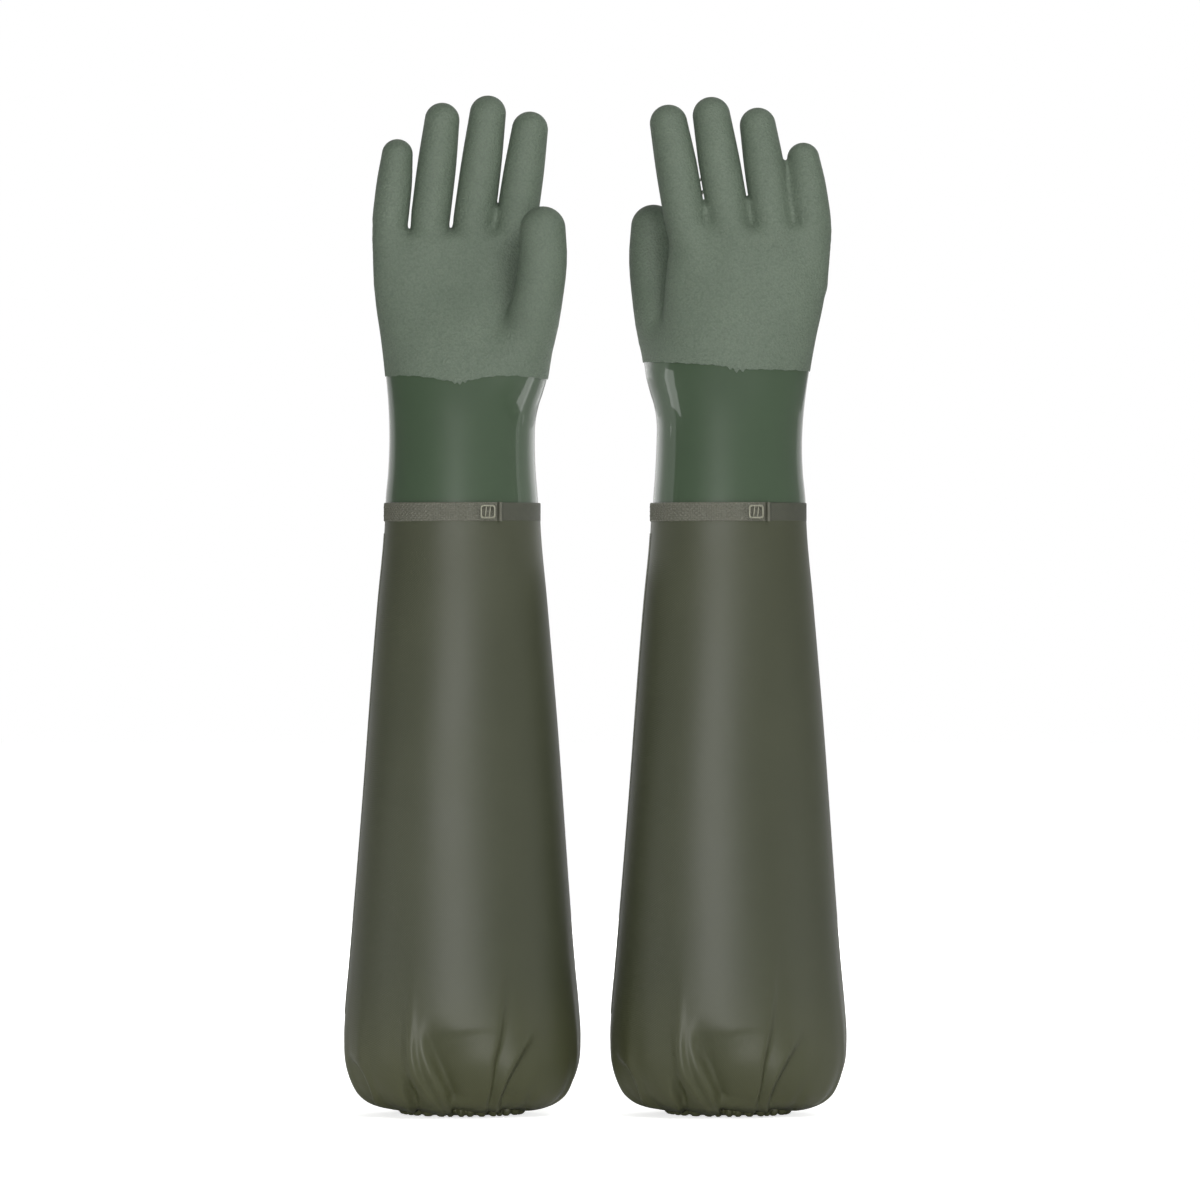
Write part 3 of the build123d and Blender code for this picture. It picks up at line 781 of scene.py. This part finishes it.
def makeHem(glove):  # gathered channel round the arm opening, over the elastic
    letter = glove["letter"]
    turns = wholeTurn(hem["columns"])
    dice = np.random.default_rng(11)
    phase = np.cumsum(dice.uniform(0.55, 1.5, hem["scallops"]))
    phase = np.concatenate([[0], phase]) / phase[-1] * 2 * math.pi
    crest = np.interp(turns, phase, 2 * math.pi * np.arange(len(phase)))
    pucker = np.cos(crest)
    tall = np.interp(turns, phase, np.append(dice.uniform(0.55, 1.25, hem["scallops"]), 1.0))
    rings = []
    for angle in wholeTurn(hem["rings"]):
        out, up = math.cos(angle), math.sin(angle)
        notch = tall * ((1 - pucker) / 2) ** 2
        proud = hem["tube"][0] * out * (1 - 0.3 * notch)
        proud = proud + hem["scallopHeight"] * pucker * tall * (0.8 if out > 0 else 0.2)
        rise = hem["middle"] + hem["tube"][1] * up * (1 - (0.5 if up < 0 else 0.1) * notch)
        rise = np.maximum(rise, hem["lowest"])
        rings.append(ovalPoints(turns, rise, hem["halfWidth"] + proud, hem["halfDepth"] + proud))
    points = np.concatenate(rings) + [glove["centre"], 0, 0]
    faces = gridFaces(len(turns), len(rings), looped=True)
    piece = newPiece(f"{letter}_hemChannel", points * mm, faces, ("sleeveFabric",))
    seatOn(piece, "forearms", "sleeve_fabric", f"{letter}_hem_casing")


# Strap over the weld: a plain band all round, an embossed tongue over it, a buckle and a keeper

strap = {"columns": 420, "low": 408.6, "high": 421.4, "halfWidth": 53.3, "halfDepth": 40.0, "band": 0.5,
         "tongue": 0.55, "over": 0.1, "from": -88.0, "to": 27.0, "emboss": 0.3, "diamond": 3.0,
         "rib": 0.05, "ribRate": 5.2, "meanRadius": 47.0}


def bandMesh(name, turns, low, high, proud, thick, relief, material, closed):
    # upright band round the sleeve's neck. Relief gives how far it stands out at each angle and level
    rows = np.linspace(low, high, 24)
    around, level = np.meshgrid(turns, rows)
    edge = np.minimum(level - low, high - level)
    if not closed:
        ends = np.minimum(around - turns[0], turns[-1] - around) * 50
        edge = np.minimum(edge, ends)
    soft = np.sqrt(np.clip(1 - (1 - np.clip(edge / 0.7, 0, 1)) ** 2, 0, 1)) - 1
    out = proud + thick * (1 + 0.7 * soft) + relief(around, level) * np.clip(edge / 1.6, 0, 1)
    layers = [out, np.full_like(out, proud)]
    halfWidth, halfDepth = strap["halfWidth"], strap["halfDepth"]
    skins = [ovalPoints(around, level, halfWidth + far, halfDepth + far) for far in layers]
    points = np.concatenate([skin.reshape(-1, 3) for skin in skins])
    outer = gridFaces(len(turns), len(rows), closed)
    linings, walls = secondSkin(outer, around.size)
    return newPiece(name, points * mm, outer + linings + walls, (material,))


def diamonds(around, level):  # raised lattice on the tongue
    size = strap["diamond"]
    along = around * strap["meanRadius"]
    first = np.abs(((along + level) / size) % 1 - 0.5)
    second = np.abs(((along - level) / size) % 1 - 0.5)
    return strap["emboss"] * (ramp(first, 0.12, 0.3) * ramp(second, 0.12, 0.3) * 2 - 1)


def makeStrap(glove):
    letter = glove["letter"]
    low, high, band = strap["low"], strap["high"], strap["band"]
    ribs = lambda around, level: strap["rib"] * np.sin(level * strap["ribRate"])
    base = bandMesh(f"{letter}_jointStrap", wholeTurn(strap["columns"]), low, high, 0.0, band, ribs,
                    "webbing", True)
    angles = np.radians(np.linspace(strap["from"], strap["to"], strap["columns"]))
    tongue = bandMesh(f"{letter}_strapTongue", angles, low - strap["over"], high + strap["over"], band,
                      strap["tongue"], diamonds, "embossedStrap", False)
    for piece, node in ((base, "joint_strap"), (tongue, "strap_tongue")):
        piece.location.x = glove["centre"] * mm
        seatOn(piece, "forearms", "strap", f"{letter}_{node}")
    makeBuckle(glove)


buckle = {"width": 10.6, "height": 9.4, "bar": 1.4, "deep": 1.7, "round": 1.9, "prong": 0.45, "lean": 0.12,
          "prongs": (-1.5, 1.3), "inset": 0.8, "seat": 1.8}


def makeBuckle(glove):  # rounded frame with two slanted prongs, over the end of the tongue
    letter = glove["letter"]
    low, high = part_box(f"{letter}_strap_buckle")
    middle = (low + high) / 2
    x = middle.x / mm - glove["centre"]
    halfWidth, halfDepth = strap["halfWidth"] + buckle["seat"], strap["halfDepth"] + buckle["seat"]
    y = -halfDepth * math.sqrt(1 - (x / halfWidth) ** 2)
    out = Vector((x / halfWidth**2, y / halfDepth**2, 0)).normalized()
    side = Vector((-out.y, out.x, 0))
    seat = Vector((glove["centre"] + x, y, (strap["low"] + strap["high"]) / 2))
    work = bmesh.new()
    rim = []
    halfX, halfZ, soft = buckle["width"] / 2, buckle["height"] / 2, buckle["round"]
    for cornerX, cornerZ, start in ((1, 1, 0), (-1, 1, 90), (-1, -1, 180), (1, -1, 270)):
        for step in range(7):
            angle = math.radians(start + step * 15)
            rim.append((cornerX * (halfX - soft) + soft * math.cos(angle),
                        cornerZ * (halfZ - soft) + soft * math.sin(angle)))

    def addRing(steps, place):  # place gives across, up and proud at an angle
        ring = []
        for step in range(steps):
            across, up, proud = place(2 * math.pi * step / steps)
            spot = seat + side * across + out * proud
            spot.z += up
            ring.append(work.verts.new(spot * mm))
        return ring

    def joinRings(ring, after):
        for a, b, c, d in zip(ring, after, after[1:] + after[:1], ring[1:] + ring[:1]):
            work.faces.new((a, b, c, d))

    rings = []
    for u, v in rim:
        inward = Vector((-u / halfX, -v / halfZ)).normalized() * buckle["bar"] / 2
        rings.append(addRing(10, lambda angle: (
            u + inward.x * (1 + math.cos(angle)), v + inward.y * (1 + math.cos(angle)),
            buckle["deep"] / 2 * (1 + math.sin(angle)))))
    for ring, after in zip(rings, rings[1:] + rings[:1]):
        joinRings(ring, after)
    prong = buckle["prong"]
    for offset in buckle["prongs"]:  # across the window
        ends = [addRing(8, lambda angle: (
            offset + prong * math.cos(angle) + buckle["lean"] * v, v, prong * (2 + math.sin(angle))))
            for v in (-halfZ + buckle["inset"], halfZ - buckle["inset"])]
        joinRings(*ends)
        work.faces.new(ends[0][::-1])
        work.faces.new(ends[1])
    bmesh.ops.recalc_face_normals(work, faces=work.faces)
    mesh = bpy.data.meshes.new(f"{letter}_strapBuckle")
    work.to_mesh(mesh)
    work.free()
    mesh.materials.append(looks["buckle"])
    for polygon in mesh.polygons:
        polygon.use_smooth = len(polygon.vertices) == 4
    seatOn(linkPiece(mesh), "forearms", "buckle", f"{letter}_strap_buckle")


# Materials


def rgb(red, green, blue):  # sRGB 0 to 255 to linear
    linear = []
    for value in (red / 255, green / 255, blue / 255):
        linear.append(value / 12.92 if value <= 0.04045 else ((value + 0.055) / 1.055) ** 2.4)
    return (*linear, 1.0)


def newGroup(name, inputs, outputs):
    group = bpy.data.node_groups.new(name, "ShaderNodeTree")
    for label, value in inputs.items():
        socket = group.interface.new_socket(name=label, in_out="INPUT", socket_type="NodeSocketFloat")
        socket.default_value = value
    for label in outputs:
        group.interface.new_socket(name=label, in_out="OUTPUT", socket_type="NodeSocketFloat")
    nodes = group.nodes
    return group, nodes.new("NodeGroupInput"), nodes.new("NodeGroupOutput")


def feed(tree, node, values):  # to each socket, by name or number, a link or a plain value
    for key, value in values.items():
        socket = node.inputs[key.replace("_", " ") if isinstance(key, str) else key]
        if isinstance(value, bpy.types.NodeSocket):
            tree.links.new(value, socket)
        else:
            socket.default_value = value


def addNode(tree, kind, settings=(), **sockets):
    node = tree.nodes.new(kind)
    for key, value in dict(settings).items():
        setattr(node, key, value)
    feed(tree, node, sockets)
    return node


def mathNode(tree, operation, *values):
    node = addNode(tree, "ShaderNodeMath", {"operation": operation})
    feed(tree, node, dict(enumerate(values)))
    return node.outputs[0]


def mixColour(tree, share, first, second):
    node = addNode(tree, "ShaderNodeMix", {"data_type": "RGBA"})
    feed(tree, node, {0: share, 6: first, 7: second})
    return node.outputs[2]


def makeGrainGroup():  # pebbled grain: Height for bump, and a mask for painted shade in the grain's valleys
    group, source, sink = newGroup("pebbleGrain", {"Size": 600.0, "Crease": 0.5}, ("Height", "ValleyShade"))
    size = source.outputs["Size"]
    place = addNode(group, "ShaderNodeTexCoord").outputs["Object"]
    cells = addNode(group, "ShaderNodeTexVoronoi", {"feature": "SMOOTH_F1"}, Vector=place, Scale=size,
                    Smoothness=0.6)
    fineSize = mathNode(group, "MULTIPLY", size, 1.7)
    fine = addNode(group, "ShaderNodeTexNoise", Vector=place, Scale=fineSize, Detail=3.0)
    domes = mathNode(group, "MULTIPLY_ADD", cells.outputs["Distance"], -0.6, 0.6)
    height = mathNode(group, "MULTIPLY_ADD", fine.outputs["Fac"], 0.6, domes)
    # painted shade: the mask grows towards the grain's valleys, scaled by Crease
    valleyShade = mathNode(group, "MULTIPLY", mathNode(group, "SUBTRACT", 0.85, height), source.outputs["Crease"])
    feed(group, sink, {"Height": height, "ValleyShade": valleyShade})
    return group


def makeMottleGroup():  # broad uneven tone, from 0 to 1
    group, source, sink = newGroup("unevenTone", {"Size": 20.0}, ("Tone",))
    place = addNode(group, "ShaderNodeTexCoord").outputs["Object"]
    size = source.outputs["Size"]
    noise = addNode(group, "ShaderNodeTexNoise", Vector=place, Scale=size, Detail=4.0, Roughness=0.6)
    feed(group, sink, {"Tone": noise.outputs["Fac"]})
    return group


def makeWeaveGroup():  # fine crossed threads under a coating
    group, source, sink = newGroup("wovenBacking", {"Threads": 1500.0}, ("Height",))
    threads = source.outputs["Threads"]
    place = addNode(group, "ShaderNodeTexCoord").outputs["Object"]
    spread = addNode(group, "ShaderNodeSeparateXYZ", Vector=place)
    warp = mathNode(group, "SINE", mathNode(group, "MULTIPLY", spread.outputs["Z"], threads))
    weft = mathNode(group, "MULTIPLY_ADD", spread.outputs["Y"], 0.7, spread.outputs["X"])
    weft = mathNode(group, "SINE", mathNode(group, "MULTIPLY", weft, threads))
    feed(group, sink, {"Height": mathNode(group, "MULTIPLY", warp, weft)})
    return group


def makeLowTintGroup():  # mask from 1 at the bottom to 0 at the top, with an uneven edge
    group, source, sink = newGroup("lowTint", {"Bottom": 0.0, "Top": 0.15}, ("TowardsBottom",))
    place = addNode(group, "ShaderNodeTexCoord").outputs["Object"]
    height = addNode(group, "ShaderNodeSeparateXYZ", Vector=place).outputs["Z"]
    noise = addNode(group, "ShaderNodeTexNoise", Vector=place, Scale=9.0).outputs["Fac"]
    height = mathNode(group, "MULTIPLY_ADD", noise, 0.06, height)
    mask = addNode(group, "ShaderNodeMapRange", {"interpolation_type": "SMOOTHSTEP"}, Value=height, To_Min=1.0,
                   To_Max=0.0, From_Min=source.outputs["Bottom"], From_Max=source.outputs["Top"])
    feed(group, sink, {"TowardsBottom": mask.outputs["Result"]})
    return group


def newMaterial(name, **settings):
    material = looks[name] = bpy.data.materials.new(name)
    material.use_nodes = True
    shader = material.node_tree.nodes["Principled BSDF"]
    feed(material.node_tree, shader, settings)
    return material.node_tree, shader


def useGroup(tree, group, output, **values):
    return addNode(tree, "ShaderNodeGroup", {"node_tree": group}, **values).outputs[output]


def paint(tree, shader, colour, height, strength, distance):  # base colour, and a bump from height
    bump = addNode(tree, "ShaderNodeBump", Height=height, Strength=strength, Distance=distance)
    feed(tree, shader, {"Base Color": colour, "Normal": bump.outputs["Normal"]})


def makeLooks():
    grain, mottle, weave = makeGrainGroup(), makeMottleGroup(), makeWeaveGroup()

    # the valley colour is painted shade, mixed in at the grain's valleys
    coat = {"light": rgb(96, 108, 93), "dark": rgb(79, 91, 77), "valleyShade": rgb(60, 72, 59), "grain": 680.0}
    tree, shader = newMaterial("gripCoat", Roughness=0.62, Specular_IOR_Level=0.45)
    pebble = addNode(tree, "ShaderNodeGroup", {"node_tree": grain}, Size=coat["grain"], Crease=1.1)
    tone = useGroup(tree, mottle, "Tone", Size=28.0)
    colour = mixColour(tree, tone, coat["dark"], coat["light"])
    colour = mixColour(tree, pebble.outputs["ValleyShade"], colour, coat["valleyShade"])
    paint(tree, shader, colour, pebble.outputs["Height"], 0.9, 0.0008)

    dip = {"light": rgb(54, 71, 50), "dark": rgb(46, 62, 43)}
    tree, shader = newMaterial("smoothDip", Roughness=0.45, Specular_IOR_Level=0.2, Coat_Weight=1.0,
                               Coat_Roughness=0.05)
    tone = useGroup(tree, mottle, "Tone", Size=14.0)
    paint(tree, shader, mixColour(tree, tone, dip["dark"], dip["light"]), tone, 0.06, 0.004)

    # the dark pile is painted shade, mixed in at the grain's valleys
    pile = {"light": rgb(206, 203, 190), "dark": rgb(168, 164, 150)}
    tree, shader = newMaterial("thermalLining", Roughness=0.95, Specular_IOR_Level=0.1, Sheen_Weight=0.4)
    pebble = addNode(tree, "ShaderNodeGroup", {"node_tree": grain}, Size=700.0, Crease=0.8)
    colour = mixColour(tree, pebble.outputs["ValleyShade"], pile["light"], pile["dark"])
    paint(tree, shader, colour, pebble.outputs["Height"], 0.8, 0.001)

    # the sleeve's colour turns a lighter olive towards the bottom
    cloth = {"light": rgb(61, 64, 47), "dark": rgb(53, 56, 41), "bottomTint": rgb(70, 72, 47)}
    tree, shader = newMaterial("sleeveFabric", Roughness=0.45, Specular_IOR_Level=0.36)
    tone = useGroup(tree, mottle, "Tone", Size=16.0)
    threads = useGroup(tree, weave, "Height", Threads=5200.0)
    towardsBottom = useGroup(tree, makeLowTintGroup(), "TowardsBottom", Bottom=0.0, Top=0.15)
    colour = mixColour(tree, tone, cloth["dark"], cloth["light"])
    paint(tree, shader, mixColour(tree, towardsBottom, colour, cloth["bottomTint"]), threads, 0.12, 0.0004)
    feed(tree, shader, {"Roughness": mathNode(tree, "MULTIPLY_ADD", tone, 0.1, 0.4)})

    backing = {"light": rgb(86, 88, 76), "dark": rgb(70, 72, 62)}
    tree, shader = newMaterial("sleeveBacking", Roughness=0.9, Specular_IOR_Level=0.2)
    threads = useGroup(tree, weave, "Height", Threads=3600.0)
    shade = mathNode(tree, "MULTIPLY_ADD", threads, 0.5, 0.5)
    paint(tree, shader, mixColour(tree, shade, backing["dark"], backing["light"]), threads, 0.3, 0.0005)

    for name, light, dark, roughness, bump in (
        ("webbing", rgb(64, 66, 54), rgb(54, 56, 46), 0.6, 0.25),
        ("embossedStrap", rgb(88, 88, 76), rgb(74, 75, 64), 0.5, 0.25),
        ("seamTape", rgb(70, 73, 56), rgb(62, 65, 50), 0.42, 0.25),
        ("buckle", rgb(136, 136, 120), rgb(120, 120, 105), 0.35, 0.03),
        ("elastic", rgb(60, 62, 54), rgb(44, 46, 40), 0.8, 0.25),
    ):
        tree, shader = newMaterial(name, Roughness=roughness, Specular_IOR_Level=0.45)
        tone = useGroup(tree, mottle, "Tone", Size=220.0)
        threads = useGroup(tree, weave, "Height", Threads=4200.0)
        paint(tree, shader, mixColour(tree, tone, dark, light), threads, bump, 0.0004)


# Studio


def addLamp(name, place, size, power):
    lamp = bpy.data.lights.new(name, "AREA")
    lamp.shape = "RECTANGLE"
    lamp.size, lamp.size_y = size
    lamp.energy = power
    thing = bpy.data.objects.new(name, lamp)
    thing.location = place
    thing.visible_camera = False
    scene.collection.objects.link(thing)
    return thing


def makeStudio():
    tree, shader = newMaterial("paleFloor", Roughness=0.9, Specular_IOR_Level=0.1)
    tone = addNode(tree, "ShaderNodeTexNoise", Scale=3.0).outputs["Fac"]
    feed(tree, shader, {"Base Color": mixColour(tree, tone, (0.93, 0.93, 0.92, 1), (0.96, 0.96, 0.955, 1))})
    path = addNode(tree, "ShaderNodeLightPath")
    shown = mathNode(tree, "MULTIPLY", path.outputs["Is Camera Ray"], 1 - studio["floorTone"] * studio["fill"])
    glow = addNode(tree, "ShaderNodeEmission", Strength=shown)
    total = addNode(tree, "ShaderNodeAddShader")
    feed(tree, total, {0: shader.outputs[0], 1: glow.outputs[0]})
    feed(tree, tree.nodes["Material Output"], {"Surface": total.outputs[0]})
    far = studio["floorReach"]
    corners = [(-far, -far, 0), (far, -far, 0), (far, far, 0), (-far, far, 0)]
    floor = newPiece("studioFloor", corners, [(0, 1, 2, 3)], ("paleFloor",), smooth=False)
    floor.location.z = cadLow.z - studio["floorGap"]

    world = bpy.data.worlds.new("studioWorld")
    scene.world = world
    world.use_nodes = True
    tree = world.node_tree
    path = addNode(tree, "ShaderNodeLightPath")
    place = addNode(tree, "ShaderNodeTexCoord").outputs["Generated"]
    depth = addNode(tree, "ShaderNodeSeparateXYZ", Vector=place).outputs["Y"]
    sweep = addNode(tree, "ShaderNodeMapRange", {"interpolation_type": "SMOOTHSTEP"}, Value=depth,
                    From_Min=studio["sweep"][0], From_Max=studio["sweep"][1], To_Min=studio["front"],
                    To_Max=1.0)
    seen = mathNode(tree, "MAXIMUM", path.outputs["Is Camera Ray"], path.outputs["Is Transmission Ray"])
    glossy = mathNode(tree, "MULTIPLY", path.outputs["Is Glossy Ray"], sweep.outputs["Result"])
    across = addNode(tree, "ShaderNodeSeparateXYZ", Vector=place).outputs["X"]
    fill = mathNode(tree, "MULTIPLY_ADD", across, studio["fillTilt"], studio["fill"])
    strength = mathNode(tree, "MAXIMUM", mathNode(tree, "MAXIMUM", seen, glossy), fill)
    feed(tree, tree.nodes["Background"], {"Color": (1, 1, 1, 1), "Strength": strength})

    for name, place, aim, size, power in studio["lamps"]:
        lamp = addLamp(name, place, size, power)
        lamp.rotation_mode = "QUATERNION"
        lamp.rotation_quaternion = (Vector(place) - Vector(aim)).to_track_quat("Z", "Y")
        lamp.visible_glossy = name != "backPanel"  # the white sweep is what shows there
    for side, place, size, power in studio["cards"]:
        card = addLamp("glossCard", place, size, power)
        card.rotation_euler = (math.pi / 2, 0, side * math.pi / 2)
        card.visible_diffuse = False


studio = {
    "floorReach": 12.0,
    "floorTone": 0.94,
    "floorGap": 0.0002,
    "fill": 0.33,
    "fillTilt": 0.1,  # how much more comes from the right
    "front": 0.22,  # how bright the room behind the camera looks in reflections
    "sweep": (0.34, 0.6),  # where the white sweep begins, from front to back
    "lamps": (  # name, place, aim, size, power
        ("keySoftbox", (0.52, -0.85, 1.3), (0, 0, 0.58), (0.5, 0.5), 8),
        ("lowPanel", (-0.36, -2.2, 0.32), (0, 0, 0.2), (0.5, 0.3), 27),
        ("leftStrip", (-0.8, -0.35, 0.06), (0, 0, 0.48), (0.4, 0.4), 1.3),
        ("rightStrip", (0.8, -0.35, 0.06), (0, 0, 0.48), (0.4, 0.4), 1.2),
        ("backPanel", (0.7, 2.5, 0.9), (0, 0, 0.36), (1.4, 1.4), 50),
    ),
    "cards": (  # small, between the gauntlets and seen only in their gloss: way they face, place, size, power
        (-1, (-0.001, 0.02, 0.465), (0.115, 0.17), 0.046),
        (1, (0.001, 0.02, 0.465), (0.115, 0.17), 0.046),
        (-1, (0.001, -0.041, 0.508), (0.024, 0.042), 0.0072),
    ),
}


def makeCamera():
    view = {"width": 0.828, "height": 0.3545, "across": 0.003, "away": 4.6}
    camera = bpy.data.cameras.new("camera")
    camera.sensor_width = 36.0
    camera.lens = camera.sensor_width * view["away"] / view["width"]
    camera.clip_end = 60.0
    thing = bpy.data.objects.new("camera", camera)
    thing.location = (view["across"], -view["away"], view["height"])
    thing.rotation_euler = (math.pi / 2, 0, 0)
    scene.collection.objects.link(thing)
    scene.camera = thing


keptSolids = {"weld_tape": "seamTape", "strap_keeper": "embossedStrap", "hem_elastic": "elastic"}
scene.view_settings.view_transform = "Standard"
makeLooks()
print("materials made")
for glove in gloves:
    handField = makeHand(glove)
    print(f"hand {glove['letter']} made")
    makeGauntlet(glove, handField)
    makeSleeve(glove)
    makeHem(glove)
    makeStrap(glove)
    print(f"forearm {glove['letter']} made")
    for node, look in keptSolids.items():
        held = frame["nodes"][f"{glove['letter']}_{node}"]
        held.data.materials.clear()
        held.data.materials.append(looks[look])
makeStudio()
makeCamera()
print("studio made")
